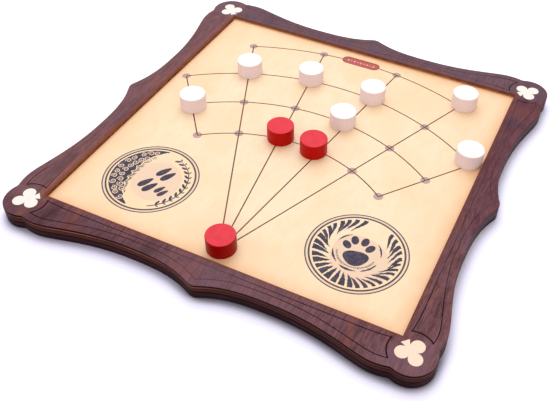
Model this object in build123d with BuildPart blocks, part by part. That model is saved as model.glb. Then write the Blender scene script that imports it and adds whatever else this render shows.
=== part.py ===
from build123d import *
import math
import os

# Lambs and tigers game board: a square board with a scalloped frame, a recessed
# play panel and ten turned pieces. Millimetres, +Z up. The origin is at the middle
# of the underside, +X runs along the front rail and +Y points to the rear rail.

# Play opening and panel
opening_side = 320.0
panel_thickness = 4.0
panel_lip = 8.0
panel_gap = 0.2

# Layers of the board, from the table up
base_thickness = 8.0
frame_thickness = 3.8
base_edge_rounding = 1.5
frame_edge_rounding = 0.4

# Rail outline, measured outwards from the opening
crest_width = 28.8
crest_slope = 0.55
crest_handle = 21.0
crest_rounding = 10.0
waist_width = 17.0
waist_offset = 63.0
sweep_handle = 45.0
shoulder_width = 29.7
shoulder_inset = 12.0
shoulder_handle = 15.0
shoulder_radius = 48.0
shoulder_turn = 25.0
lobe_offset = 10.1
lobe_radius = 19.9
notch_rounding = 4.0

# Engraved cartouche on each rail
engraving_width = 0.75
engraving_depth = 0.3
cartouche_rail_margin = 6.1
cartouche_edge_margin = 6.8
cartouche_crest_margin = 7.1
cartouche_end_radius = 17.8
cartouche_curl_height = 1.6
cartouche_curl_length = 22.0

# Club inlay in each corner
club_lobe_radius = 5.5
club_lobe_reach = 6.7
club_side_angle = 110.0
club_core_radius = 4.4
stem_reach = 10.2
stem_base_width = 7.4
stem_neck_width = 2.6
inlay_gap = 0.08

# Grid of arcs and spokes cut into the play panel
apex_inset = 13.2
fan_rear_inset = 14.8
fan_side_inset = 10.3
first_arc_radius = 145.9
arc_spacing = 47.8
inner_spoke_angle = 8.1
middle_spoke_angle = 23.2
grid_line_width = 1.2
grid_line_depth = 0.3
point_radius = 4.3
point_depth = 0.15

# Plaque field over the middle of the outermost arc
plaque_width = 41.3
plaque_height = 12.2

# Double rings of the two medallions, by how far each centre lies inside the opening
left_medallion_side_inset = 64.4
left_medallion_front_inset = 59.9
right_medallion_side_inset = 61.2
right_medallion_front_inset = 61.1
medallion_radius = 42.1
medallion_band = 2.7
outer_ring_width = 0.8
inner_ring_width = 1.6

# Turned playing pieces
token_diameter = 25.0
token_height = 15.5
token_rounding = 0.8
rail_clearance = 0.9

half_opening = opening_side / 2
panel_top = base_thickness + panel_thickness
board_top = panel_top + frame_thickness
panel_side = opening_side + 2 * panel_lip
lobe_centre = half_opening + lobe_offset
match_tolerance = 0.01

# The last arc nearly reaches the rear rail, and the far spokes nearly reach the side rails
apex_y = apex_inset - half_opening
last_arc_radius = opening_side - apex_inset - fan_rear_inset
third_arc_radius = first_arc_radius + 2 * arc_spacing
far_spoke_angle = math.degrees(math.asin((half_opening - fan_side_inset) / third_arc_radius))
arcs = {
    "first": first_arc_radius,
    "second": first_arc_radius + arc_spacing,
    "third": third_arc_radius,
    "last": last_arc_radius,
}
spokes = {
    "far left": -far_spoke_angle,
    "left": -middle_spoke_angle,
    "inner left": -inner_spoke_angle,
    "inner right": inner_spoke_angle,
    "right": middle_spoke_angle,
    "far right": far_spoke_angle,
}
medallion_centres = [
    (left_medallion_side_inset - half_opening, left_medallion_front_inset - half_opening),
    (half_opening - right_medallion_side_inset, right_medallion_front_inset - half_opening),
]
corner_signs = {
    "front_left": (-1, -1),
    "front_right": (1, -1),
    "rear_right": (1, 1),
    "rear_left": (-1, 1),
}

os.makedirs("parts", exist_ok=True)


def rail_curve(margin, crest_margin):
    """Half of a rail's outer edge, from mid-side to the shoulder, drawn margin inside the outline."""
    crest = (0, half_opening + crest_width - crest_margin)
    waist = (waist_offset, half_opening + waist_width - margin)
    shoulder = (half_opening - shoulder_inset, half_opening + shoulder_width - margin)
    Bezier(
        crest,
        (crest_handle, crest[1] - crest_slope * crest_handle),
        (waist[0] - crest_handle, waist[1]),
        waist,
    )
    Bezier(
        waist,
        (waist[0] + sweep_handle, waist[1]),
        (shoulder[0] - shoulder_handle, shoulder[1]),
        shoulder,
    )
    turn = JernArc(start=shoulder, tangent=(1, 0), radius=shoulder_radius - margin, arc_size=-shoulder_turn)
    return crest, turn @ 1


def rail_wedge(margin, crest_margin):
    """One rail's quarter of the board, used whole for the outline and inset for the cartouche."""
    with BuildSketch() as wedge:
        with BuildLine():
            crest, shoulder_end = rail_curve(margin, crest_margin)
            Polyline(shoulder_end, (lobe_centre, lobe_centre), (0, 0), crest)
        make_face()
        mirror(about=Plane.YZ)
    return wedge.sketch


rear_wedge = rail_wedge(0, 0)
with BuildSketch() as board_outline:
    with PolarLocations(0, 4):
        add(rear_wedge)
    with Locations(*[(x * lobe_centre, y * lobe_centre) for x, y in corner_signs.values()]):
        Circle(lobe_radius)
    crests = board_outline.vertices().filter_by(lambda v: min(abs(v.X), abs(v.Y)) < match_tolerance)
    fillet(crests, crest_rounding)
    notches = [
        v for v in board_outline.vertices()
        if abs(math.hypot(abs(v.X) - lobe_centre, abs(v.Y) - lobe_centre) - lobe_radius) < match_tolerance
        and min(abs(v.X), abs(v.Y)) < lobe_centre - match_tolerance
    ]
    fillet(notches, notch_rounding)


def club(gap):
    """Club outline with its crown along +X and its stem along -X, shrunk all round by gap."""
    with BuildSketch() as shape:
        with Locations(*[
            (club_lobe_reach * math.cos(math.radians(a)), club_lobe_reach * math.sin(math.radians(a)))
            for a in (0, club_side_angle, -club_side_angle)
        ]):
            Circle(club_lobe_radius - gap)
        Circle(club_core_radius - gap)
        with BuildLine():
            base_left = (gap - stem_reach, stem_base_width / 2 - gap)
            base_right = (gap - stem_reach, gap - stem_base_width / 2)
            neck_left = (0, stem_neck_width / 2 - gap)
            neck_right = (0, gap - stem_neck_width / 2)
            Line(base_right, base_left)
            Bezier(base_left, (-stem_reach / 2, neck_left[1]), neck_left)
            Line(neck_left, neck_right)
            Bezier(neck_right, (-stem_reach / 2, neck_right[1]), base_right)
        make_face()
    return shape.sketch


def corner_frame(name, height):
    """Working plane at a corner lobe, with its x axis along the outward diagonal."""
    x, y = corner_signs[name]
    return Plane(origin=(x * lobe_centre, y * lobe_centre, height), x_dir=(x, y, 0), z_dir=(0, 0, 1))


# Base board: full outline, its lower edge rounded for the hand
with BuildPart() as base_board:
    with BuildSketch():
        add(board_outline.sketch)
    extrude(amount=base_thickness)
    fillet(base_board.faces().sort_by(Axis.Z)[0].edges(), base_edge_rounding)
base_board.part.label = "base_board"
export_step(base_board.part, "parts/base_board.step")

# Spacer frame: ring round the panel, the same thickness as the panel
with BuildPart() as spacer_frame:
    with BuildSketch(Plane.XY.offset(base_thickness)):
        add(board_outline.sketch)
        Rectangle(panel_side + 2 * panel_gap, panel_side + 2 * panel_gap, mode=Mode.SUBTRACT)
    extrude(amount=panel_thickness)
spacer_frame.part.label = "spacer_frame"
export_step(spacer_frame.part, "parts/spacer_frame.step")

# Cartouche: a slab beyond the rail's inner margin, cut to the inset outline and rounded off at the lobes
inset_wedge = rail_wedge(cartouche_edge_margin, cartouche_crest_margin)
with BuildSketch() as cartouche:
    inner_y = half_opening + cartouche_rail_margin
    curl_y = inner_y - cartouche_curl_height
    curl_end = lobe_centre - math.sqrt(cartouche_end_radius**2 - (lobe_centre - curl_y) ** 2)
    curl_start = curl_end - cartouche_curl_length
    far_y = half_opening + 2 * crest_width
    with BuildLine():
        Line((-curl_start, inner_y), (curl_start, inner_y))
        Bezier((curl_start, inner_y), (curl_start + cartouche_curl_length / 2, inner_y), (curl_end, curl_y))
        Polyline(
            (curl_end, curl_y),
            (lobe_centre, curl_y),
            (lobe_centre, far_y),
            (-lobe_centre, far_y),
            (-lobe_centre, curl_y),
            (-curl_end, curl_y),
        )
        Bezier((-curl_end, curl_y), (-curl_start - cartouche_curl_length / 2, inner_y), (-curl_start, inner_y))
    make_face()
    add(inset_wedge, mode=Mode.INTERSECT)
    with Locations((lobe_centre, lobe_centre), (-lobe_centre, lobe_centre)):
        Circle(cartouche_end_radius, mode=Mode.SUBTRACT)
with BuildSketch() as cartouche_line:
    trace(cartouche.sketch.edges(), line_width=engraving_width)

# Top frame: lip over the panel's edge, with a pocket for each club and four engraved cartouches
with BuildPart() as top_frame:
    with BuildSketch(Plane.XY.offset(panel_top)):
        add(board_outline.sketch)
    extrude(amount=frame_thickness)
    fillet(top_frame.faces().sort_by(Axis.Z)[-1].edges(), frame_edge_rounding)
    with BuildSketch(Plane.XY.offset(panel_top)):
        Rectangle(opening_side, opening_side)
    extrude(amount=frame_thickness, mode=Mode.SUBTRACT)
    for name in corner_signs:
        with BuildSketch(corner_frame(name, panel_top)):
            add(club(0))
        extrude(amount=frame_thickness, mode=Mode.SUBTRACT)
    with BuildSketch(Plane.XY.offset(board_top)):
        with PolarLocations(0, 4):
            add(cartouche_line.sketch)
    extrude(amount=-engraving_depth, mode=Mode.SUBTRACT)
top_frame.part.label = "top_frame"
export_step(top_frame.part, "parts/top_frame.step")

# Club inlays: full thickness, each resting on the spacer in its pocket
for name in corner_signs:
    with BuildPart() as club_inlay:
        with BuildSketch(corner_frame(name, panel_top)):
            add(club(inlay_gap))
        extrude(amount=frame_thickness)
    club_inlay.part.label = "club_inlay_" + name
    export_step(club_inlay.part, "parts/club_inlay_" + name + ".step")


def grid_point(arc, spoke):
    """Place where an arc crosses a spoke; every spoke points at the apex."""
    angle = math.radians(spokes[spoke])
    return (arcs[arc] * math.sin(angle), apex_y + arcs[arc] * math.cos(angle))


def arc_reach(arc):
    """Half angle of an arc: the last one stops at the middle spokes, the others run on to the far ones."""
    return middle_spoke_angle if arc == "last" else far_spoke_angle


apex = (0, apex_y)
plaque_centre = (0, apex_y + last_arc_radius)
crossings = [grid_point(arc, spoke) for arc in arcs for spoke in spokes if abs(spokes[spoke]) <= arc_reach(arc)]

# Play panel: a plain board trapped under the frame's lip, with the grid, plaque field and rings engraved
with BuildPart() as play_panel:
    with BuildSketch(Plane.XY.offset(base_thickness)):
        Rectangle(panel_side, panel_side)
    extrude(amount=panel_thickness)
    with BuildSketch(Plane.XY.offset(panel_top)):
        with Locations(apex, *crossings):
            Circle(point_radius)
        with Locations(plaque_centre):
            SlotOverall(plaque_width, plaque_height)
    extrude(amount=-point_depth, mode=Mode.SUBTRACT)
    with BuildSketch(Plane.XY.offset(panel_top)):
        for arc, radius in arcs.items():
            with BuildLine() as arc_line:
                CenterArc(apex, radius, 90 - arc_reach(arc), 2 * arc_reach(arc))
            trace(arc_line.line.edges(), line_width=grid_line_width)
        for spoke in spokes:
            far = spoke.startswith("far")
            with BuildLine() as spoke_line:
                Line(grid_point("first", spoke) if far else apex, grid_point("third" if far else "last", spoke))
            trace(spoke_line.line.edges(), line_width=grid_line_width)
        with Locations(plaque_centre):
            SlotOverall(plaque_width, plaque_height, mode=Mode.SUBTRACT)
    extrude(amount=-grid_line_depth, mode=Mode.SUBTRACT)
    with BuildSketch(Plane.XY.offset(panel_top)):
        with Locations(*medallion_centres):
            Circle(medallion_radius)
            Circle(medallion_radius - outer_ring_width, mode=Mode.SUBTRACT)
            Circle(medallion_radius - medallion_band)
            Circle(medallion_radius - medallion_band - inner_ring_width, mode=Mode.SUBTRACT)
    extrude(amount=-grid_line_depth, mode=Mode.SUBTRACT)
play_panel.part.label = "play_panel"
export_step(play_panel.part, "parts/play_panel.step")


def stand_token(name, point, nudge):
    """One turned piece, set down nudge away from its grid point."""
    with BuildPart() as token:
        with BuildSketch(Plane((point[0] + nudge[0], point[1] + nudge[1], panel_top))):
            Circle(token_diameter / 2)
        extrude(amount=token_height)
        fillet(token.edges(), token_rounding)
    token.part.label = name
    export_step(token.part, "parts/" + name + ".step")


# Pieces as they stand in play, each by its point and how far off it was set down; the last lamb touches no rail
far_right_x = half_opening - rail_clearance - token_diameter / 2 - grid_point("third", "far right")[0]
tigers = [
    (apex, (0.2, 4.3)),
    (grid_point("first", "inner left"), (0.9, 1.3)),
    (grid_point("first", "inner right"), (-5.1, -1.7)),
]
lambs = [
    (grid_point("second", "far left"), (3.4, -1.5)),
    (grid_point("third", "left"), (-0.1, 2.7)),
    (grid_point("third", "inner left"), (0.5, 1.3)),
    (grid_point("second", "inner right"), (-4.2, -0.3)),
    (grid_point("third", "inner right"), (-0.5, 1.4)),
    (grid_point("last", "right"), (3.1, 3.4)),
    (grid_point("third", "far right"), (far_right_x, 3.5)),
]
for kind, placings in (("tiger", tigers), ("lamb", lambs)):
    for count, (point, nudge) in enumerate(placings, start=1):
        stand_token(kind + "_token_" + str(count), point, nudge)
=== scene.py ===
import math
import random

import bpy
from mathutils import Matrix, Vector


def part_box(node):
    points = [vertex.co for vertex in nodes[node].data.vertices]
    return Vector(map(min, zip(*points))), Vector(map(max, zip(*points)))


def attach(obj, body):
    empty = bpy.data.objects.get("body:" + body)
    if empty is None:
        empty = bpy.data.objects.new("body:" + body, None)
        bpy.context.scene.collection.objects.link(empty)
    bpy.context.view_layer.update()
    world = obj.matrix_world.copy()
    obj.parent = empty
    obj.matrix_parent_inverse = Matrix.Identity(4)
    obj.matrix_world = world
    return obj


# Looks of the lambs and tigers game board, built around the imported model. Metres,
# +X along the front rail, +Y to the rear rail, +Z up, origin under the middle.

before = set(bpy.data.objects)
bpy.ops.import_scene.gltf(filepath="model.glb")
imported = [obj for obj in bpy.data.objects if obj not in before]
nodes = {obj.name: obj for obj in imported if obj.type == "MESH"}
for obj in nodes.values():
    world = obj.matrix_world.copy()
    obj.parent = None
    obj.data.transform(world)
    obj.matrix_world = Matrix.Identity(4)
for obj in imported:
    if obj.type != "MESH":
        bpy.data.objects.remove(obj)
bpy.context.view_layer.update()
mm = 0.001

# Heights and half sizes, read from the frame
base_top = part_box("base_board")[1].z
panel_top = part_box("play_panel")[1].z
board_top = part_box("top_frame")[1].z
panel_lip = 8 * mm
half_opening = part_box("play_panel")[1].x - panel_lip

# Points and plaque sunk into the play panel
point_depth = 0.15 * mm
plaque_inset = 14.8 * mm
plaque_y = half_opening - plaque_inset
plaque_width = 41.3 * mm
plaque_height = 12.2 * mm

# Curved ends of the frame's cartouches: circles about the corner lobes' centres
lobe_offset = 10.1 * mm
lobe_centre = half_opening + lobe_offset
cartouche_end_radius = 17.8 * mm

# Medallions, placed from the front corners of the opening
left_inset = (64.4 * mm, 59.9 * mm)
right_inset = (61.2 * mm, 61.1 * mm)
left_medallion = Vector((left_inset[0] - half_opening, left_inset[1] - half_opening))
right_medallion = Vector((half_opening - right_inset[0], right_inset[1] - half_opening))
medallion_radius = 42.1 * mm
medallion_band = 2.7 * mm

# Ink printed on the panel: how far it reaches into the veneer and stands over it
ink_root = 0.03 * mm
tint_height = 0.02 * mm
ink_height = 0.04 * mm


def srgb(red, green, blue):
    """Linear colour of an sRGB colour given from 0 to 255."""
    parts = []
    for value in (red, green, blue):
        share = value / 255
        parts.append(share / 12.92 if share <= 0.04045 else ((share + 0.055) / 1.055) ** 2.4)
    return (*parts, 1)


class Finish:
    """A node material, with short calls for the nodes that the finishes share."""

    def __init__(self, name):
        self.material = bpy.data.materials.new(name)
        self.material.use_nodes = True
        self.tree = self.material.node_tree
        self.shader = self.tree.nodes["Principled BSDF"]
        self.place = self.node("ShaderNodeTexCoord").outputs["Object"]

    def node(self, kind, **settings):
        made = self.tree.nodes.new(kind)
        for key, value in settings.items():
            setattr(made, key, value)
        return made

    def put(self, socket, value):
        """Links a socket, or sets a plain value."""
        if isinstance(value, bpy.types.NodeSocket):
            self.tree.links.new(value, socket)
        else:
            socket.default_value = value

    def math(self, operation, *values):
        made = self.node("ShaderNodeMath", operation=operation)
        for socket, value in zip(made.inputs, values):
            self.put(socket, value)
        return made.outputs[0]

    def add(self, first, second):
        return self.math("ADD", first, second)

    def less(self, first, second):
        return self.math("SUBTRACT", first, second)

    def times(self, first, second):
        return self.math("MULTIPLY", first, second)

    def most(self, first, second):
        """The larger of two values."""
        return self.math("MAXIMUM", first, second)

    def size(self, value):
        """A value without its sign."""
        return self.math("ABSOLUTE", value)

    def stretched(self, sizes, shift=(0, 0, 0), vector=None):
        """Object coordinates, or a given vector, divided by a size along each axis."""
        made = self.node("ShaderNodeMapping")
        made.inputs["Scale"].default_value = [1 / size for size in sizes]
        made.inputs["Location"].default_value = shift
        self.put(made.inputs["Vector"], vector or self.place)
        return made.outputs[0]

    def noise(self, vector, detail=3.0, roughness=0.5):
        made = self.node("ShaderNodeTexNoise")
        self.put(made.inputs["Vector"], vector)
        made.inputs["Scale"].default_value = 1
        made.inputs["Detail"].default_value = detail
        made.inputs["Roughness"].default_value = roughness
        return made.outputs["Fac"]

    def between(self, value, low, high):
        """0 at low and 1 at high, smooth between; low may be the larger."""
        made = self.node("ShaderNodeMapRange", interpolation_type="SMOOTHSTEP")
        made.clamp = True
        self.put(made.inputs["Value"], value)
        flip = low > high
        made.inputs["From Min"].default_value = min(low, high)
        made.inputs["From Max"].default_value = max(low, high)
        made.inputs["To Min"].default_value = 1.0 if flip else 0.0
        made.inputs["To Max"].default_value = 0.0 if flip else 1.0
        return made.outputs[0]

    def bump_of(self, value, centre, reach):
        """1 at centre, fading to 0 at reach away from it."""
        return self.between(self.size(self.less(value, centre)), reach, 0.0)

    def mix(self, share, first, second, blend="MIX"):
        made = self.node("ShaderNodeMix", data_type="RGBA", blend_type=blend)
        self.put(made.inputs[0], share)
        self.put(made.inputs[6], first)
        self.put(made.inputs[7], second)
        return made.outputs[2]

    def cover(self, color, tone, amount, share=None):
        """Mixes a tone into a colour by an amount from 0 to 1, taken times a share."""
        if share is not None:
            amount = self.times(amount, share)
        return self.mix(amount, color, tone)

    def tint(self, color, tone, value, low, high, share=None):
        """Mixes a tone into a colour where a value runs from low to high."""
        return self.cover(color, tone, self.between(value, low, high), share)

    def axes(self, vector=None):
        made = self.node("ShaderNodeSeparateXYZ")
        self.put(made.inputs[0], vector or self.place)
        return made.outputs[0], made.outputs[1], made.outputs[2]

    def distance(self, x, y, centre):
        """Distance in plan from a point."""
        across = self.math("POWER", self.less(x, centre[0]), 2.0)
        along = self.math("POWER", self.less(y, centre[1]), 2.0)
        return self.math("SQRT", self.add(across, along))

    def facing(self):
        """1 where the surface faces straight up or down, 0 on walls."""
        normal = self.node("ShaderNodeNewGeometry").outputs["True Normal"]
        return self.between(self.size(self.axes(normal)[2]), 0.5, 0.8)

    def relief(self, height, distance, strength):
        made = self.node("ShaderNodeBump")
        made.inputs["Strength"].default_value = strength
        made.inputs["Distance"].default_value = distance
        self.put(made.inputs["Height"], height)
        return made.outputs[0]

    def finish(self, color, roughness, normal, specular):
        self.put(self.shader.inputs["Base Color"], color)
        self.put(self.shader.inputs["Roughness"], roughness)
        self.put(self.shader.inputs["Normal"], normal)
        self.shader.inputs["Specular IOR Level"].default_value = specular
        return self.material


def wavy_place(finish, drift, shift=(0, 0, 0)):
    """Object coordinates that wander sideways along the grain, which runs along Y."""
    wander = finish.noise(finish.stretched((90 * mm, 70 * mm, 200 * mm), shift), 1.0)
    offset = finish.node("ShaderNodeCombineXYZ")
    finish.put(offset.inputs[0], finish.times(finish.less(wander, 0.5), drift))
    moved = finish.node("ShaderNodeVectorMath", operation="ADD")
    finish.put(moved.inputs[0], finish.place)
    finish.put(moved.inputs[1], offset.outputs[0])
    return moved.outputs[0]


def veneer_grain(finish):
    """Dark veneer all over: its colour, streaks, broad clouds, and the height of its grain."""
    wavy = wavy_place(finish, 14 * mm)
    streaks = finish.noise(finish.stretched((1.0 * mm, 14 * mm, 6 * mm), (0, 0, 0), wavy), 4.0, 0.66)
    figure = finish.noise(finish.stretched((4.5 * mm, 9 * mm, 9 * mm), (3.7, 6.1, 0)), 3.0, 0.6)
    bands = finish.noise(finish.stretched((13 * mm, 60 * mm, 30 * mm), (2.3, 0.4, 0), wavy), 2.0, 0.55)
    clouds = finish.noise(finish.stretched((22 * mm, 30 * mm, 30 * mm), (5.1, 1.7, 0)), 2.0, 0.5)
    threads = finish.noise(finish.stretched((0.55 * mm, 11 * mm, 3 * mm), (8.8, 1.2, 0), wavy), 2.0)
    pores = finish.noise(finish.stretched((0.4 * mm, 4 * mm, 1 * mm), (0, 0, 0), wavy), 1.5)
    mottle = finish.noise(finish.stretched((1.4 * mm, 2.2 * mm, 2 * mm), (7.9, 3.3, 0)), 2.0)

    color = finish.tint(srgb(88, 55, 64), srgb(126, 86, 91), streaks, 0.28, 0.72)
    color = finish.tint(color, srgb(136, 94, 98), figure, 0.5, 0.7, 0.5)
    color = finish.tint(color, srgb(78, 48, 60), figure, 0.48, 0.3, 0.5)
    color = finish.tint(color, srgb(140, 80, 70), bands, 0.54, 0.72, 0.6)
    color = finish.tint(color, srgb(72, 42, 56), bands, 0.45, 0.3, 0.6)
    color = finish.tint(color, srgb(108, 82, 100), clouds, 0.52, 0.68, 0.45)
    color = finish.tint(color, srgb(148, 104, 98), threads, 0.52, 0.68, 0.4)
    color = finish.tint(color, srgb(62, 34, 42), threads, 0.46, 0.3, 0.4)
    color = finish.tint(color, srgb(142, 98, 96), mottle, 0.5, 0.7, 0.2)
    color = finish.tint(color, srgb(52, 28, 34), pores, 0.58, 0.74, 0.5)
    height = finish.less(streaks, finish.times(finish.between(pores, 0.56, 0.74), 0.7))
    return color, streaks, clouds, height


def rail_tones(finish, color, streaks):
    """Tones of the rear, right and left rails, which differ by place."""
    x, y, _ = finish.axes()
    rear = finish.between(y, 0.96 * half_opening, 1.02 * half_opening)
    right = finish.between(x, 0.96 * half_opening, 1.02 * half_opening)
    back = finish.between(y, -0.5 * half_opening, 0.1 * half_opening)
    color = finish.cover(color, srgb(92, 50, 66), finish.times(right, back), 0.4)
    color = finish.cover(color, srgb(104, 90, 106), rear, 0.42)

    # A red and a dark band across the rear end of the right rail
    along = finish.add(y, finish.times(finish.less(streaks, 0.5), 30 * mm))
    for centre, reach, tone in ((136 * mm, 17 * mm, srgb(132, 76, 74)),
                                (113 * mm, 12 * mm, srgb(72, 52, 76))):
        band = finish.times(right, finish.bump_of(along, centre, reach))
        color = finish.cover(color, tone, band, 0.45)

    front_right = finish.between(finish.less(x, y), 2.0 * half_opening, 2.2 * half_opening)
    color = finish.cover(color, srgb(156, 118, 132), front_right, 0.2)
    left = finish.between(x, -0.98 * half_opening, -1.04 * half_opening)
    color = finish.cover(color, srgb(146, 112, 118), left, 0.2)

    # The left rail's strip beside the opening is paler, but for a dark stretch
    strip = finish.times(left, finish.between(x, -1.05 * half_opening, -1.03 * half_opening))
    pale = finish.add(0.35, finish.times(finish.between(y, -90 * mm, -125 * mm), 0.3))
    stretch = finish.bump_of(y, -35 * mm, 60 * mm)
    pale = finish.less(pale, finish.times(stretch, 0.35))
    color = finish.cover(color, srgb(154, 98, 78), finish.times(strip, pale))
    return finish.cover(color, srgb(72, 44, 54), finish.times(strip, stretch), 0.3)


def front_rail_figure(finish, color, clouds):
    """Marked figure of the front rail, where the grain crosses the rail."""
    x, y, _ = finish.axes()
    front = finish.between(y, -0.8 * half_opening, -0.95 * half_opening)
    across = finish.add(x, finish.times(finish.less(clouds, 0.5), 22 * mm))
    for centre, reach in ((-121 * mm, 8 * mm), (-6 * mm, 5 * mm), (124 * mm, 6 * mm)):
        band = finish.times(front, finish.bump_of(across, centre, reach))
        color = finish.cover(color, srgb(148, 86, 72), band, 0.42)
    middle = finish.times(front, finish.bump_of(x, 25 * mm, 120 * mm))
    color = finish.cover(color, srgb(122, 96, 112), middle, 0.3)
    outer = finish.between(y, -1.02 * half_opening, -1.1 * half_opening)
    outer_left = finish.times(outer, finish.between(x, -20 * mm, -60 * mm))
    color = finish.cover(color, srgb(66, 42, 58), outer_left, 0.35)
    for centre, reach in ((-143 * mm, 7 * mm), (-50 * mm, 11 * mm)):
        band = finish.times(front, finish.bump_of(across, centre, reach))
        color = finish.cover(color, srgb(62, 38, 48), band, 0.42)
    return color


def veneer_top(finish):
    """Colour, streaks and height of the frame's top veneer."""
    x, y, _ = finish.axes()
    color, streaks, clouds, height = veneer_grain(finish)
    color = rail_tones(finish, color, streaks)
    color = front_rail_figure(finish, color, clouds)

    # The laser that cut the opening browned the veneer beside it
    reach = finish.most(finish.size(x), finish.size(y))
    browned = finish.between(reach, half_opening + 2.8 * mm, half_opening + 0.8 * mm)
    color = finish.cover(color, srgb(128, 62, 22), browned, 0.42)
    return color, streaks, height


def sooty_plies(finish, level, fine):
    """Colour of the outer edge's plies by height: sooty in patches, to the right and at the left end,
    with painted shade towards the bottom.
    """
    x, _, z = finish.axes()
    patches = finish.noise(finish.stretched((38 * mm, 38 * mm, 14 * mm), (1.9, 8.2, 0)), 3.0)
    ends = finish.most(finish.between(x, -30 * mm, 50 * mm), finish.between(x, -132 * mm, -165 * mm))
    patchy = finish.times(finish.between(patches, 0.42, 0.66), 0.7)
    at_ends = finish.times(finish.times(ends, finish.between(patches, 0.34, 0.5)), 0.85)
    soot = finish.most(patchy, at_ends)
    upper = finish.mix(soot, srgb(146, 88, 70), srgb(88, 50, 50))
    lower = finish.mix(soot, srgb(84, 42, 36), srgb(70, 36, 36))
    base = finish.mix(soot, srgb(60, 32, 40), srgb(38, 19, 26))
    black = srgb(20, 2, 5)

    color = finish.tint(upper, lower, level, board_top - 3.0 * mm, board_top - 3.6 * mm)
    color = finish.cover(color, black, finish.bump_of(level, panel_top, 0.9 * mm), 0.8)
    color = finish.tint(color, black, level, base_top + 1.1 * mm, base_top + 0.4 * mm)
    color = finish.tint(color, base, level, base_top - 0.5 * mm, base_top - 1.2 * mm)
    # Painted shade: the base gets darker towards the bottom, near the floor
    color = finish.tint(color, srgb(24, 12, 22), level, base_top - 2.6 * mm, 1.0 * mm)
    color = finish.tint(color, srgb(20, 4, 6), fine, 0.5, 0.75, 0.45)
    return finish.tint(color, black, z, board_top - 2.3 * mm, board_top - 1.8 * mm)


def right_side_lit_plies(finish, level, fine):
    """Colour of the right side's plies, a copy painted for the light on that side: plum, a grey painted
    highlight, then slate holding painted reflection and painted shade.
    """
    plum = finish.tint(srgb(98, 64, 78), srgb(84, 54, 68), fine, 0.35, 0.65)
    # Painted reflection and shade: slate, darker towards the bottom
    slate = finish.tint(srgb(60, 56, 74), srgb(26, 22, 34), level, 4.5 * mm, 1.5 * mm)
    color = finish.tint(plum, slate, level, base_top - 0.6 * mm, base_top - 1.2 * mm)
    # A painted highlight: a grey line at the base's top
    painted_highlight_line = finish.bump_of(level, base_top - 0.4 * mm, 0.8 * mm)
    return finish.cover(color, srgb(122, 114, 122), painted_highlight_line, 0.7)


def ply_edge(finish):
    """Colour of the laser-cut outer edge: plies by height, wavering a little."""
    x, y, z = finish.axes()
    waver = finish.noise(finish.stretched((16 * mm, 16 * mm, 0.45 * mm)), 3.0, 0.6)
    level = finish.add(z, finish.times(finish.less(waver, 0.5), 1.5 * mm))
    fine = finish.noise(finish.stretched((30 * mm, 30 * mm, 0.22 * mm), (3.3, 1.1, 0)), 2.0)
    # The right side takes a copy of the plies painted for the light that falls on it
    right = finish.times(finish.between(x, 1.02 * half_opening, 1.06 * half_opening),
                         finish.between(y, -0.85 * half_opening, -0.7 * half_opening))
    return finish.mix(right, sooty_plies(finish, level, fine), right_side_lit_plies(finish, level, fine))


def opening_wall(finish, edge):
    """Colour of the opening's walls: dark at the foot, and the rear one dark at its brow instead."""
    x, y, z = finish.axes()
    reach = finish.most(finish.size(x), finish.size(y))
    soot = finish.noise(finish.stretched((6 * mm, 6 * mm, 2.5 * mm), (4.4, 0.8, 0)), 3.0)
    rear = finish.between(y, 0.97 * half_opening, 0.99 * half_opening)
    brow = finish.mix(rear, srgb(148, 94, 62), srgb(88, 48, 34))
    foot = finish.mix(rear, srgb(100, 50, 22), srgb(190, 132, 92))
    pale = finish.mix(rear, srgb(152, 84, 42), srgb(146, 98, 68))
    dark = finish.mix(rear, srgb(110, 55, 26), srgb(116, 72, 48))
    color = finish.tint(pale, dark, soot, 0.35, 0.65)
    color = finish.tint(color, brow, z, board_top - 1.3 * mm, board_top - 0.5 * mm)
    color = finish.tint(color, foot, z, panel_top + 1.5 * mm, panel_top + 0.5 * mm)
    return finish.tint(edge, color, reach, half_opening + 0.6 * mm, half_opening + 0.3 * mm)


def cartouche_ends(finish):
    """1 along the curved ends of the cartouches, where the veneer beside the line is scorched too."""
    x, y, _ = finish.axes()
    fade = 0.2 * mm
    first = lobe_centre - 6.0 * mm
    last = lobe_centre + 12.2 * mm
    across = finish.size(x)
    along = finish.size(y)
    outer = finish.most(across, along)
    near = finish.distance(across, along, (lobe_centre, lobe_centre))
    off_line = finish.size(finish.less(near, cartouche_end_radius))
    line = finish.between(off_line, 0.9 * mm, 0.5 * mm)
    reach = finish.times(finish.between(outer, first - fade, first + fade),
                         finish.between(outer, last + fade, last - fade))
    return finish.times(line, reach)


def pale_line_masks(finish):
    """Masks where the engraved lines fade, on the left and rear rails, and where they are painted pale,
    on those and on parts of the front and right rails too.
    """
    x, y, _ = finish.axes()
    faded_lines = finish.between(finish.less(y, x), -20 * mm, 200 * mm)
    left = finish.times(finish.between(x, -half_opening, -1.03 * half_opening),
                        finish.between(y, -150 * mm, -118 * mm))
    rear = finish.times(finish.between(y, half_opening, 1.03 * half_opening),
                        finish.between(x, 150 * mm, 118 * mm))
    faded_lines = finish.most(faded_lines, finish.times(finish.most(left, rear), 0.9))
    front_middle = finish.times(finish.bump_of(x, 0.0, 110 * mm), finish.between(y, 0.0, -half_opening))
    right = finish.times(finish.between(x, half_opening, 1.03 * half_opening),
                         finish.between(y, -125 * mm, -75 * mm))
    painted_pale_lines = finish.most(finish.times(faded_lines, 0.94), finish.times(front_middle, 0.6))
    return faded_lines, finish.most(painted_pale_lines, finish.times(right, 0.4))


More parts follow.
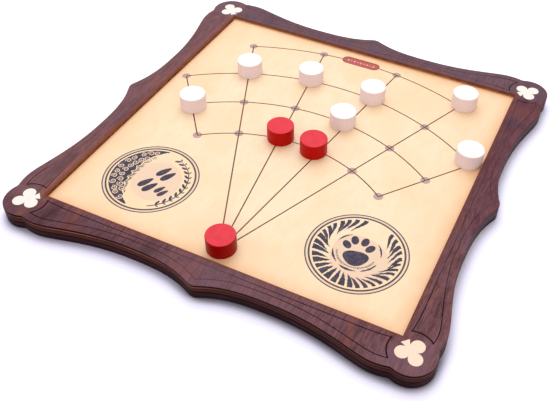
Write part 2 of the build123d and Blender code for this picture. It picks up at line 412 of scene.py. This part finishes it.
def scorch(finish, color, flat, faded_lines, painted_pale_lines):
    """The engraved lines' floors, painted pale in places against their shade, and their scorch: uneven,
    and heaviest near the corners.
    """
    x, y, z = finish.axes()
    sunk = finish.times(finish.between(z, board_top - 0.05 * mm, board_top - 0.15 * mm),
                        finish.between(z, panel_top + 1 * mm, panel_top + 2 * mm))
    sunk = finish.times(sunk, flat)
    uneven = finish.noise(finish.stretched((30 * mm, 30 * mm, 30 * mm), (6.6, 2.2, 0)), 2.0)
    least = finish.math("MINIMUM", finish.size(x), finish.size(y))
    corner = finish.between(least, 0.6 * half_opening, 0.85 * half_opening)
    scorched = finish.most(finish.between(uneven, 0.35, 0.65), corner)
    share = finish.times(finish.add(0.5, finish.times(scorched, 0.5)), finish.less(1.0, painted_pale_lines))
    ends = finish.times(cartouche_ends(finish), flat)
    halo = finish.times(ends, finish.less(0.6, finish.times(faded_lines, 0.5)))
    # Painted light: the groove floors paler than the veneer, against the grooves' own shade
    color = finish.cover(color, srgb(176, 132, 126), finish.times(sunk, painted_pale_lines), 0.5)
    return finish.cover(color, srgb(14, 2, 6), finish.most(finish.times(sunk, share), halo))


def dark_veneer():
    """Dark walnut veneer on plywood: grained top, scorched engraving, laser-cut edges."""
    finish = Finish("walnut_veneer")
    _, _, z = finish.axes()
    top, streaks, height = veneer_top(finish)
    edge = opening_wall(finish, ply_edge(finish))
    flat = finish.facing()
    faded_lines, painted_pale_lines = pale_line_masks(finish)
    shallow = finish.times(painted_pale_lines, finish.between(z, board_top - 0.5 * mm, board_top - 0.35 * mm))
    color = finish.mix(finish.most(flat, shallow), edge, top)
    color = scorch(finish, color, flat, faded_lines, painted_pale_lines)
    roughness = finish.add(0.4, finish.times(streaks, 0.22))
    return finish.finish(color, roughness, finish.relief(height, 0.06 * mm, 0.6), specular=0.05)


def panel_veneer(finish):
    """Colour and streaks of the pale veneer: soft mottle, short flecks, and warm painted shade towards
    the rails.
    """
    x, y, _ = finish.axes()
    wavy = wavy_place(finish, 10 * mm, (3.1, 7.7, 0))
    streaks = finish.noise(finish.stretched((3.5 * mm, 22 * mm, 6 * mm), (3.1, 7.7, 0), wavy), 3.0, 0.55)
    mottle = finish.noise(finish.stretched((9 * mm, 14 * mm, 9 * mm), (1.1, 2.6, 0)), 3.0, 0.6)
    flecks = finish.noise(finish.stretched((0.9 * mm, 3.4 * mm, 1 * mm)), 2.0)
    clouds = finish.noise(finish.stretched((52 * mm, 70 * mm, 60 * mm), (4.7, 0.9, 0)), 2.0)
    reach = finish.most(finish.size(x), finish.size(y))

    color = finish.tint(srgb(254, 229, 193), srgb(255, 235, 203), streaks, 0.25, 0.75)
    color = finish.tint(color, srgb(254, 219, 176), clouds, 0.4, 0.62, 0.5)
    color = finish.tint(color, srgb(254, 220, 177), mottle, 0.42, 0.68, 0.4)
    color = finish.tint(color, srgb(236, 200, 156), flecks, 0.6, 0.72, 0.16)
    # Painted shade: warmer and darker towards the rails
    color = finish.tint(color, srgb(255, 214, 166), reach, 90 * mm, half_opening, 0.35)

    # Warm painted shade along the rails, most at the front and towards the right
    ragged = finish.add(reach, finish.times(finish.less(mottle, 0.5), 10 * mm))
    rim = finish.between(ragged, half_opening - 17 * mm, half_opening)
    warm = finish.most(finish.between(x, -150 * mm, 60 * mm), finish.between(y, -100 * mm, -150 * mm))
    rim = finish.times(rim, finish.add(0.2, finish.times(warm, 0.26)))
    return finish.cover(color, srgb(255, 190, 132), rim), streaks


def ring_tints(finish, color, near):
    """A faint tint between a medallion's rings, with a thin brown thread in it."""
    inside = finish.between(near, medallion_radius, medallion_radius - 0.1 * mm)
    outside = finish.between(near, medallion_radius - medallion_band - 0.1 * mm,
                             medallion_radius - medallion_band)
    color = finish.cover(color, srgb(234, 214, 204), finish.times(inside, outside), 0.7)
    thread = finish.bump_of(near, medallion_radius - 1.05 * mm, 0.5 * mm)
    return finish.tint(color, srgb(96, 70, 54), thread, 0.2, 0.7, 0.6)


def line_ink(finish, near, worn):
    """Ink of the fan's lines and of the medallions' rings, the outer ring darkest."""
    fan = finish.mix(worn, srgb(98, 44, 28), srgb(134, 74, 52))
    ring = finish.mix(worn, srgb(76, 50, 36), srgb(104, 78, 58))
    outer = finish.between(near, medallion_radius - 0.6 * mm, medallion_radius - 0.3 * mm)
    ring = finish.cover(ring, srgb(44, 24, 20), outer)
    return finish.tint(fan, ring, near, medallion_radius + 1 * mm, medallion_radius + 0.5 * mm)


def field_ink(finish, worn):
    """Ink of the sunken points, and of the plaque, which is browner at its ends."""
    x, y, _ = finish.axes()
    across = finish.size(x)
    point = finish.mix(worn, srgb(184, 154, 152), srgb(200, 172, 164))
    plaque = finish.mix(worn, srgb(184, 72, 76), srgb(200, 92, 90))
    plaque = finish.tint(plaque, srgb(176, 92, 70), across, 2 * mm, 18 * mm, 0.6)
    # A box a little larger than the plaque tells it from the points
    front = plaque_y - plaque_height
    in_plaque = finish.times(finish.between(y, front, front + 1 * mm),
                             finish.between(across, plaque_width * 0.7, plaque_width * 0.65))
    return finish.mix(in_plaque, point, plaque)


def panel_face():
    """Pale veneer of the play panel, with the ink and scorch of what is engraved told by its depth."""
    finish = Finish("birch_panel")
    x, y, z = finish.axes()
    step = 0.02 * mm
    deep = 0.06 * mm
    from_left = finish.distance(x, y, left_medallion)
    from_right = finish.distance(x, y, right_medallion)
    near = finish.math("MINIMUM", from_left, from_right)
    worn = finish.between(finish.noise(finish.stretched((1.5 * mm, 1.5 * mm, 1 * mm)), 3.0), 0.35, 0.7)
    color, streaks = panel_veneer(finish)
    color = ring_tints(finish, color, near)
    lines = line_ink(finish, near, worn)
    fields = finish.mix(finish.facing(), lines, field_ink(finish, worn))
    depth = finish.less(panel_top, z)
    color = finish.tint(color, fields, depth, step, deep)
    color = finish.tint(color, lines, depth, point_depth + step, point_depth + deep)
    roughness = finish.add(0.36, finish.times(streaks, 0.16))
    return finish.finish(color, roughness, finish.relief(streaks, 0.03 * mm, 0.4), specular=0.4)


def pale_inlay():
    """Cream maple of the club inlays, warmer at the front right, with a dark glue line round them."""
    finish = Finish("maple_inlay")
    x, y, z = finish.axes()
    wavy = wavy_place(finish, 6 * mm, (1.3, 4.1, 0))
    streaks = finish.noise(finish.stretched((1.2 * mm, 16 * mm, 4 * mm), (1.3, 4.1, 0), wavy), 3.0)
    color = finish.tint(srgb(254, 243, 234), srgb(255, 251, 246), streaks, 0.3, 0.7)
    front_right = finish.between(finish.less(x, y), 1.6 * half_opening, 2 * half_opening)
    color = finish.cover(color, srgb(253, 222, 196), front_right, 0.85)
    color = finish.tint(color, srgb(80, 44, 34), z, board_top - 0.1 * mm, board_top - 0.5 * mm)
    return finish.finish(color, 0.42, finish.relief(streaks, 0.04 * mm, 0.5), specular=0.4)


def lacquer(name, top, side, seed):
    """Gloss paint over a turned wooden piece: soft clouding, faint turning lines on its side, whose
    colour holds painted shade.
    """
    finish = Finish(name)
    shift = (seed * 3.7, seed * 1.9, seed * 0.7)
    white = (1, 1, 1, 1)
    grey = (0.6, 0.6, 0.6, 1)
    cloud = finish.noise(finish.stretched((7 * mm, 7 * mm, 9 * mm), shift), 2.0)
    peel = finish.noise(finish.stretched((1.6 * mm, 1.6 * mm, 1.6 * mm), shift), 2.0)
    turned = finish.noise(finish.stretched((60 * mm, 60 * mm, 0.7 * mm), shift), 2.0)
    flat = finish.facing()
    # The side's colour differs from the top's: it is the paint with painted shade on it
    color = finish.mix(flat, side, top)
    shade = finish.tint(white, grey, turned, 0.45, 0.7, 0.12)
    color = finish.mix(finish.less(1.0, flat), color, shade, "MULTIPLY")
    color = finish.tint(color, side, cloud, 0.4, 0.7, 0.12)
    roughness = finish.add(0.26, finish.times(cloud, 0.14))
    return finish.finish(color, roughness, finish.relief(peel, 0.03 * mm, 0.2), specular=0.08)


def printed_ink(name, dense, worn):
    """Printed ink on veneer, thinner in places."""
    finish = Finish(name)
    patches = finish.noise(finish.stretched((2.6 * mm, 2.6 * mm, 2.6 * mm), (0.7, 5.2, 0)), 3.0)
    grain = finish.noise(finish.stretched((0.5 * mm, 3 * mm, 1 * mm)), 2.0)
    color = finish.tint(dense, worn, patches, 0.35, 0.7)
    color = finish.tint(color, worn, grain, 0.55, 0.75, 0.3)
    roughness = finish.add(0.5, finish.times(patches, 0.2))
    return finish.finish(color, roughness, finish.relief(grain, 0.01 * mm, 0.3), specular=0.2)


def dress(name, material):
    """Gives a CAD node its finish."""
    slots = nodes[name].data.materials
    slots.clear()
    slots.append(material)


def dress_board():
    """Gives the board's layers, its inlays and each playing piece their finishes."""
    veneer = dark_veneer()
    for name in ("base_board", "spacer_frame", "top_frame"):
        dress(name, veneer)
    dress("play_panel", panel_face())
    inlay = pale_inlay()
    red = srgb(234, 66, 80)
    # Side colours are the paint with painted shade on it, deepest on the front red piece
    red_side_paint_and_shade = srgb(182, 8, 4)
    front_red_side_paint_and_shade = srgb(152, 3, 2)
    white = srgb(255, 253, 254)
    white_side_paint_and_shade = srgb(243, 226, 231)
    lamb_seeds = 5
    for name in sorted(nodes):
        number = name[-1]
        if name.startswith("club_inlay"):
            dress(name, inlay)
        if name.startswith("tiger_token"):
            side = front_red_side_paint_and_shade if name == "tiger_token_1" else red_side_paint_and_shade
            dress(name, lacquer("red_paint_" + number, red, side, int(number)))
        if name.startswith("lamb_token"):
            dress(name, lacquer("white_paint_" + number, white, white_side_paint_and_shade, lamb_seeds + int(number)))


def signed_area(shape):
    """Twice the area of an outline, negative where it runs clockwise."""
    return sum(x * v - u * y for (x, y), (u, v) in zip(shape, shape[1:] + shape[:1]))


def board_piece(name, corners, faces, material):
    """A mesh of one material that rides on the board."""
    mesh = bpy.data.meshes.new(name)
    mesh.from_pydata(corners, [], faces)
    mesh.materials.append(material)
    piece = bpy.data.objects.new(name, mesh)
    bpy.context.scene.collection.objects.link(piece)
    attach(piece, "board")


def ink_piece(name, shapes, material, low, high):
    """Thin closed slabs over plan outlines, as one piece."""
    corners = []
    faces = []
    for shape in shapes:
        if signed_area(shape) < 0:
            shape = shape[::-1]
        first = len(corners)
        count = len(shape)
        corners += [(x, y, low) for x, y in shape]
        corners += [(x, y, high) for x, y in shape]
        faces.append([first + count - 1 - i for i in range(count)])
        faces.append([first + count + i for i in range(count)])
        for i in range(count):
            after = (i + 1) % count
            faces.append([first + i, first + after, first + count + after, first + count + i])
    board_piece(name, corners, faces, material)


def ring_band(name, outer, inner, material, low, high):
    """A closed band between two outlines of the same count."""
    count = len(outer)
    rings = [[(x, y, z) for x, y in line] for line in (outer, inner) for z in (low, high)]
    corners = [corner for ring in rings for corner in ring]
    outer_low, outer_high, inner_low, inner_high = (count * i for i in range(4))
    faces = []
    for i in range(count):
        after = (i + 1) % count
        faces.append([outer_low + i, outer_low + after, outer_high + after, outer_high + i])
        faces.append([inner_low + after, inner_low + i, inner_high + i, inner_high + after])
        faces.append([outer_high + i, outer_high + after, inner_high + after, inner_high + i])
        faces.append([outer_low + after, outer_low + i, inner_low + i, inner_low + after])
    board_piece(name, corners, faces, material)


def placed(x, y, centre, turn):
    """A point turned about the origin, then moved to a centre."""
    return (centre[0] + x * math.cos(turn) - y * math.sin(turn),
            centre[1] + x * math.sin(turn) + y * math.cos(turn))


def oval(centre, across, along, turn=0.0, count=40, ripple=0.0, waves=0):
    """Outline of an ellipse, turned, with an optional rippled rim."""
    points = []
    for i in range(count):
        angle = 2 * math.pi * i / count
        swell = 1 + ripple * math.sin(waves * angle)
        x = across * swell * math.cos(angle)
        y = along * swell * math.sin(angle)
        points.append(placed(x, y, centre, turn))
    return points


def stroke(path, bulge, start=0.0, end=0.0, jitter=0.0, pick=None):
    """Outline of a line along a path: start and end are its end widths, bulge is added midway."""
    least = 0.05 * mm
    least_ragged = 0.1 * mm
    left = []
    right = []
    last = len(path) - 1
    for i, (x, y) in enumerate(path):
        before = path[max(i - 1, 0)]
        after = path[min(i + 1, last)]
        length = math.hypot(after[0] - before[0], after[1] - before[1])
        share = i / last
        half = (bulge * math.sin(math.pi * share) + start + (end - start) * share) / 2
        sides = [max(half, least), max(half, least)]
        if jitter and 0 < i < last:
            sides = [max(side + pick.uniform(-jitter, jitter), least_ragged) for side in sides]
        across = (-(after[1] - before[1]) / length, (after[0] - before[0]) / length)
        left.append((x + across[0] * sides[0], y + across[1] * sides[0]))
        right.append((x - across[0] * sides[1], y - across[1] * sides[1]))
    return right + left[::-1]


def polar(centre, radius, degrees):
    """Point at a distance and a direction from a centre."""
    angle = math.radians(degrees)
    return (centre[0] + radius * math.cos(angle), centre[1] + radius * math.sin(angle))


def bow(centre, radius, first, last, count=14, drift=0.0):
    """Points on an arc round a centre, angles in degrees; drift widens the radius along it."""
    steps = [i / (count - 1) for i in range(count)]
    return [polar(centre, radius + drift * step, first + (last - first) * step) for step in steps]


def curl(centre, size, turn, hand):
    """A lock of wool: a short spiral, as the path of a stroke."""
    count = 28
    winding = 520
    narrowing = 0.8
    steps = [i / (count - 1) for i in range(count)]
    return [polar(centre, size * (1 - narrowing * step), turn + hand * winding * step) for step in steps]


def hoof(centre, size, turn):
    """A cloven print: two mirrored drops, their proportions as shares of its size."""
    count = 24
    apart = 0.3
    half_width = 0.24
    half_length = 0.62
    narrowing = 0.34
    shapes = []
    for hand in (-1, 1):
        drop = []
        for i in range(count):
            angle = 2 * math.pi * i / count
            taper = 1 - narrowing * math.sin(angle)
            x = hand * size * (apart + half_width * math.cos(angle) * taper)
            y = size * half_length * math.sin(angle)
            drop.append(placed(x, y, centre, turn))
        shapes.append(drop)
    return shapes


# The left medallion's fleece: its middle direction and half spread in degrees, then its rim's radius,
# its depth at the middle and the depth of its scallops in millimetres, and their turn for each degree
fleece_middle = 182
fleece_spread = 86
fleece_rim = 35.6
fleece_depth = 14.5
scallop_depth = 2.6
scallop_turn = 0.157


def fleece_edge(degrees):
    """Inner radius of the left medallion's dark crescent, in a direction from its centre."""
    share = (degrees - fleece_middle) / fleece_spread
    depth = fleece_depth + scallop_depth * abs(math.sin(degrees * scallop_turn))
    return (fleece_rim - depth * (1 - share * share)) * mm


def fleece_outline(centre, pick):
    """The crescent between the medallion's rim and the fleece's ragged inner edge."""
    first = fleece_middle - fleece_spread
    last = fleece_middle + fleece_spread
    steps = 80
    outline = bow(centre, 36.2 * mm, first, last, 50)
    for i in range(steps, -1, -1):
        degrees = first + (last - first) * i / steps
        outline.append(polar(centre, fleece_edge(degrees) - pick.uniform(0, 0.5) * mm, degrees))
    return outline


def fleece_locks(centre, pick):
    """Two rows of curled locks on the fleece."""
    locks = []
    for radius, count, first, last in ((32.4, 12, 112, 252), (26.2, 9, 130, 234)):
        for i in range(count):
            degrees = first + (last - first) * i / (count - 1) + pick.uniform(-2, 2)
            spot = polar(centre, radius * mm, degrees)
            size = pick.uniform(2.6, 3.2) * mm
            lock = curl(spot, size, pick.uniform(0, 360), pick.choice((-1, 1)))
            locks.append(stroke(lock, 0.2 * mm, 0.75 * mm, 0.55 * mm))
    return locks


def fleece_tufts(centre, pick):
    """Short strokes that stand off the fleece's inner edge."""
    tufts = []
    count = 44
    first = 116
    spread = 132
    for i in range(count):
        degrees = first + spread * i / (count - 1) + pick.uniform(-0.5, 0.5)
        outer = fleece_edge(degrees) - 1.1 * mm
        path = [polar(centre, outer - pick.uniform(2.4, 3.8) * mm, degrees - 4),
                polar(centre, outer - 1.2 * mm, degrees - 1.5),
                polar(centre, outer, degrees)]
        tufts.append(stroke(path, 0.75 * mm))
    return tufts


def sprig(centre):
    """A stem along the medallion's right side, with a pair of leaves at every second point."""
    count = 26
    slimness = 0.42
    stem = bow(centre, 34 * mm, -62, 72, count, -2 * mm)
    shapes = [stroke(stem, 0.4 * mm, 0.9 * mm, 0.4 * mm)]
    for i in range(2, count - 1, 2):
        outward = math.degrees(math.atan2(stem[i][1] - centre.y, stem[i][0] - centre.x))
        for lean, far, size in ((outward + 50, 2.3, 1.5), (outward + 130, 3.6, 2.7)):
            spot = polar(stem[i], far * mm, lean)
            shapes.append(oval(spot, size * mm, slimness * size * mm, math.radians(lean), 16))
    return shapes


def flock_medallion(dark, tint):
    """Left medallion: cloven prints on a tinted field, a dark fleece of pale locks, and a sprig."""
    pick = random.Random(11)
    centre = left_medallion
    lean = -0.5
    field = [oval((centre.x + 6 * mm, centre.y - 1 * mm), 22 * mm, 24 * mm, 0.5, 72, 0.02, 3)]
    shapes = [fleece_outline(centre, pick)]
    locks = fleece_locks(centre, pick)
    shapes += fleece_tufts(centre, pick)
    shapes += hoof((centre.x + 9 * mm, centre.y + 10 * mm), 12.5 * mm, lean)
    shapes += hoof((centre.x + 2 * mm, centre.y - 8 * mm), 12.5 * mm, lean)
    shapes += hoof((centre.x + 17 * mm, centre.y - 10 * mm), 9 * mm, lean)
    shapes += sprig(centre)
    low = panel_top - ink_root
    high = panel_top + ink_height
    ink_piece("flock_medallion_tint", field, tint, low, panel_top + tint_height)
    ink_piece("flock_medallion_ink", shapes, dark, low, high)
    ink_piece("flock_medallion_locks", locks, tint, panel_top + ink_root, high + tint_height)


def pad_print(centre):
    """A pad with four toes."""
    pad = (centre.x + 1 * mm, centre.y - 6 * mm)
    shapes = [oval(pad, 10.4 * mm, 7.8 * mm, 0.2, 36, 0.08, 3)]
    for spread, reach in ((138, 15.6), (113, 18.8), (87, 18.8), (62, 15.6)):
        spot = polar(pad, reach * mm, spread)
        shapes.append(oval(spot, 3.2 * mm, 4.7 * mm, math.radians(spread - 90), 24))
    return shapes


def outer_stripes(centre, pick):
    """Ragged stripes that taper inwards from the medallion's rim, heaviest at the lower left."""
    shapes = []
    rim = 36
    first = 100
    last = 418
    heavy_first = 170
    heavy_last = 292
    count = 12
    steps = [i / (count - 1) for i in range(count)]
    degrees = first
    while degrees < last:
        heavy = heavy_first < degrees < heavy_last
        length = pick.uniform(11.5, 14.4) if heavy else pick.uniform(8, 13)
        lean = 26 * math.sin(math.radians(250 - degrees) * 0.6)
        path = [polar(centre, (rim - length * step) * mm, degrees + lean * step ** 2) for step in steps]
        width = pick.uniform(4.4, 5.8) if heavy else pick.uniform(2.4, 4.0)
        shapes.append(stroke(path, 0.8 * mm, width * mm, 0.1 * mm, 0.3 * mm, pick))
        degrees += math.degrees(width / rim) + pick.uniform(1.6, 3.4) + (0 if heavy else 2.5)
    return shapes


def inner_stripes(centre, pick):
    """Curved stripes round the pad print, and fine hatching inside them."""
    shapes = []
    for first, last, thick in ((192, 236, 2.2), (244, 290, 2.4), (298, 346, 2.0), (8, 52, 1.6),
                               (122, 166, 1.8)):
        path = bow(centre, 19.4 * mm, first, last, 14)
        shapes.append(stroke(path, (thick - 0.4) * mm, 0.1 * mm, 0.1 * mm, 0.25 * mm, pick))
    count = 40
    first = 196
    spread = 150
    for i in range(count):
        degrees = first + spread * i / (count - 1) + pick.uniform(-0.6, 0.6)
        path = [polar(centre, 15.2 * mm, degrees),
                polar(centre, 16.2 * mm, degrees + 1),
                polar(centre, pick.uniform(16.8, 17.9) * mm, degrees + 2.5)]
        shapes.append(stroke(path, 0.7 * mm))
    return shapes


def stripes_medallion(dark, tint):
    """Right medallion: a pad print on a tinted field, with stripes and hatching round it."""
    pick = random.Random(23)
    centre = right_medallion
    field = [oval((centre.x + 5 * mm, centre.y - 6 * mm), 27 * mm, 23 * mm, -0.5, 72, 0.03, 3)]
    shapes = pad_print(centre)
    shapes += outer_stripes(centre, pick)
    shapes += inner_stripes(centre, pick)
    low = panel_top - ink_root
    ink_piece("stripes_medallion_tint", field, tint, low, panel_top + tint_height)
    ink_piece("stripes_medallion_ink", shapes, dark, low, panel_top + ink_height)


def plaque_outline(inset):
    """Outline of the plaque with round ends, drawn in by an inset."""
    half = (plaque_width - plaque_height) / 2
    radius = plaque_height / 2 - inset
    steps = 16
    points = []
    for side in (1, -1):
        for i in range(steps + 1):
            angle = math.radians(-90 + 180 * i / steps)
            x = side * (half + radius * math.cos(angle))
            points.append((x, plaque_y + side * radius * math.sin(angle)))
    return points


def plaque_trim():
    """A darker border and a row of pale lozenges and dots on the plaque field."""
    border = printed_ink("plaque_border_ink", srgb(150, 62, 54), srgb(170, 80, 68))
    pale = printed_ink("plaque_pale_ink", srgb(232, 182, 168), srgb(216, 146, 134))
    spacing = 3.5 * mm
    slimness = 0.75
    marks = []
    for i in range(-4, 5):
        lozenge = i % 2 == 0
        size = 1.9 * mm if lozenge else 1.0 * mm
        corners = 4 if lozenge else 12
        marks.append(oval((i * spacing, plaque_y), size * slimness, size, 0.0, corners))
    low = panel_top - point_depth - ink_root
    high = panel_top - point_depth + ink_height
    ring_band("plaque_border", plaque_outline(0.5 * mm), plaque_outline(1.1 * mm), border, low, high)
    ink_piece("plaque_marks", marks, pale, low, high)


def add_ink():
    """The medallions' motifs and the plaque's ornament."""
    slate = printed_ink("slate_ink", srgb(62, 57, 76), srgb(88, 82, 98))
    blush = printed_ink("blush_ink", srgb(246, 212, 188), srgb(242, 220, 190))
    flock_medallion(slate, blush)
    stripes_medallion(slate, blush)
    plaque_trim()


def paper_shade(finish, seen):
    """Colour of the paper: painted lavender shadows before the board, neutral ones behind, darkest close
    by.
    """
    x, y, _ = finish.axes()
    contact = finish.node("ShaderNodeAmbientOcclusion", samples=16)
    contact.inputs["Distance"].default_value = 13 * mm
    open_sky = finish.between(contact.outputs["AO"], 0.46, 0.84)

    # How dark the painted shadow gets in front of the board varies along the front rail
    closed = finish.tint((0.42, 0.42, 0.57, 1), (0.24, 0.24, 0.33, 1), x, -30 * mm, 0.0)
    closed = finish.cover(closed, (0.66, 0.65, 0.9, 1), finish.bump_of(x, -85 * mm, 90 * mm))
    closed = finish.tint((0.85, 0.84, 1.0, 1), closed, y, -130 * mm, -165 * mm)
    before = finish.mix(open_sky, closed, (1.2, 1.235, 1.54, 1))
    behind = finish.mix(open_sky, (0.6, 0.56, 0.57, 1), (1.25, 1.27, 1.27, 1))
    shaded = finish.tint(before, behind, finish.less(y, x), 40 * mm, 200 * mm)
    return finish.mix(seen, (0.84, 0.84, 0.92, 1), shaded)


def floor_paper():
    """White paper: painted shade near the board, plain white farther off, clear when seen from below."""
    finish = Finish("floor_paper")
    x, y, _ = finish.axes()
    path = finish.node("ShaderNodeLightPath")
    seen = finish.most(path.outputs["Is Camera Ray"], path.outputs["Is Transmission Ray"])
    diffuse = finish.node("ShaderNodeBsdfDiffuse")
    finish.put(diffuse.inputs["Color"], paper_shade(finish, seen))

    white = finish.node("ShaderNodeEmission")
    white.inputs["Color"].default_value = (1, 1, 1, 1)
    far = finish.times(finish.between(finish.distance(x, y, (0, 0)), 400 * mm, 700 * mm), seen)
    paper = finish.node("ShaderNodeMixShader")
    finish.put(paper.inputs[0], far)
    finish.put(paper.inputs[1], diffuse.outputs[0])
    finish.put(paper.inputs[2], white.outputs[0])

    # Clear from below, and for rays that leave the underside just above it
    close = finish.math("LESS_THAN", path.outputs["Ray Length"], 0.3 * mm)
    below = finish.most(finish.node("ShaderNodeNewGeometry").outputs["Backfacing"], close)
    clear = finish.node("ShaderNodeBsdfTransparent")
    both = finish.node("ShaderNodeMixShader")
    finish.put(both.inputs[0], below)
    finish.put(both.inputs[1], paper.outputs[0])
    finish.put(both.inputs[2], clear.outputs[0])
    finish.put(finish.tree.nodes["Material Output"].inputs["Surface"], both.outputs[0])
    return finish.material


def surround():
    """Soft warm light from all round, which the camera sees as plain white."""
    world = bpy.data.worlds.new("studio")
    bpy.context.scene.world = world
    world.use_nodes = True
    tree = world.node_tree
    back = tree.nodes["Background"]
    back.inputs["Color"].default_value = (1.06, 0.95, 0.86, 1)
    back.inputs["Strength"].default_value = 0.64
    white = tree.nodes.new("ShaderNodeBackground")
    white.inputs["Color"].default_value = (1, 1, 1, 1)
    white.inputs["Strength"].default_value = 1.0
    path = tree.nodes.new("ShaderNodeLightPath")
    seen = tree.nodes.new("ShaderNodeMath")
    seen.operation = "MAXIMUM"
    tree.links.new(path.outputs["Is Camera Ray"], seen.inputs[0])
    tree.links.new(path.outputs["Is Transmission Ray"], seen.inputs[1])
    shown = tree.nodes.new("ShaderNodeMixShader")
    tree.links.new(seen.outputs[0], shown.inputs[0])
    tree.links.new(back.outputs[0], shown.inputs[1])
    tree.links.new(white.outputs[0], shown.inputs[2])
    tree.links.new(shown.outputs[0], tree.nodes["World Output"].inputs["Surface"])


def lamp(name, place, size, power, color):
    """A square soft box that looks at the board."""
    data = bpy.data.lights.new(name, "AREA")
    data.shape = "SQUARE"
    data.size = size
    data.energy = power
    data.color = color
    box = bpy.data.objects.new(name, data)
    bpy.context.scene.collection.objects.link(box)
    box.location = place
    box.rotation_mode = "QUATERNION"
    box.rotation_quaternion = (-place).to_track_quat("-Z", "Y")


def studio():
    """Pale floor, white surround, a large lamp above and behind, and a weaker one in front."""
    floor_drop = 0.05 * mm
    floor_side = 12
    bpy.ops.mesh.primitive_plane_add(size=floor_side, location=(0, 0, -floor_drop))
    floor = bpy.context.object
    floor.name = "floor"
    floor.data.materials.append(floor_paper())
    surround()
    lamp("key", place=Vector((-0.3, 0.62, 1.35)), size=1.4, power=11.8, color=(0.92, 1.0, 1.1))
    lamp("fill", place=Vector((0.25, -1.3, 0.75)), size=1.2, power=3.6, color=(1.0, 0.96, 0.98))


def photo_camera():
    """The photograph's viewpoint, fitted to the opening's corners and the board's outline."""
    image_width = 550
    focal_pixels = 734.485
    sensor = 36.0
    place = (0.22298, -0.46576, 0.45307)
    right = Vector((0.90419, 0.42640, 0.02478)).normalized()
    forward = Vector((-0.28690, 0.64930, -0.70434)).normalized()
    up = right.cross(forward).normalized()
    data = bpy.data.cameras.new("photo_camera")
    data.sensor_width = sensor
    data.lens = focal_pixels / image_width * sensor
    data.shift_x = -0.07322
    data.shift_y = -0.00289
    camera = bpy.data.objects.new("photo_camera", data)
    bpy.context.scene.collection.objects.link(camera)
    turn = Matrix((right, up, -forward)).transposed()
    camera.matrix_world = Matrix.Translation(place) @ turn.to_4x4()
    bpy.context.scene.camera = camera


dress_board()
add_ink()
photo_camera()
studio()
bpy.context.scene.view_settings.view_transform = "Standard"

bpy.context.view_layer.update()
